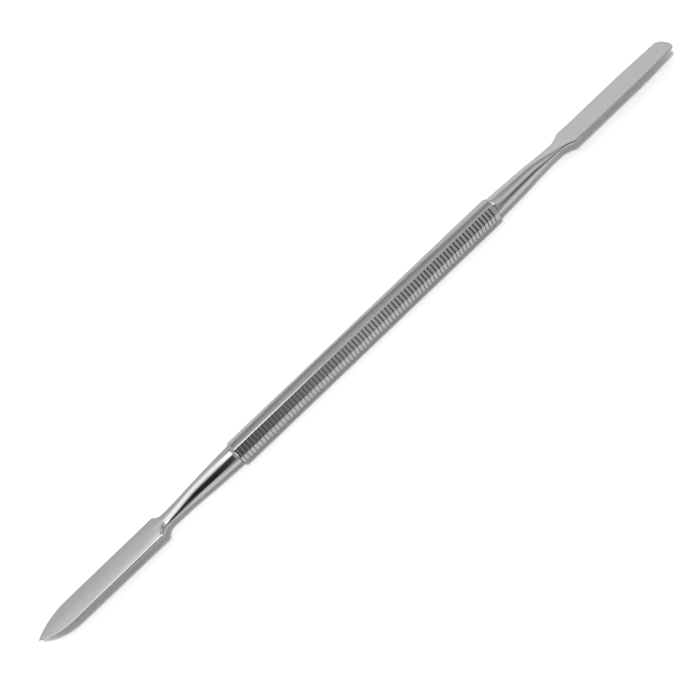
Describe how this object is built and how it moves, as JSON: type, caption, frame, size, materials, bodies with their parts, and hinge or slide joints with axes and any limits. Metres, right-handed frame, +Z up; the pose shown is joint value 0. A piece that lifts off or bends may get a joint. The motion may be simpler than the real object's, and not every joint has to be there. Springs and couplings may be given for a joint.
{
  "type": "cuticle pusher",
  "caption": "Slim double-ended steel hand tool: octagonal grooved handle, tapered necks, a flat pointed blade at one end and a flat square-tipped blade at the other.",
  "frame": {"origin": "under the middle of the whole tool, on the level surface that it lies on", "axes": "+X along the tool towards the square blade, +Z up with the tool lying on one corner of its handle, its blades' lower edges just clear of the surface; the blades' upper faces lean towards +Y"},
  "size_m": [0.1722, 0.0054, 0.0053],
  "materials": {
    "handle_steel": "bright drawn stainless steel with cut cross grooves",
    "blade_steel": "polished stainless steel necks with satin-ground blades"
  },
  "bodies": {
    "root": {"handle": "handle_steel", "pointed_end": "blade_steel", "square_end": "blade_steel"}
  },
  "joints": []
}
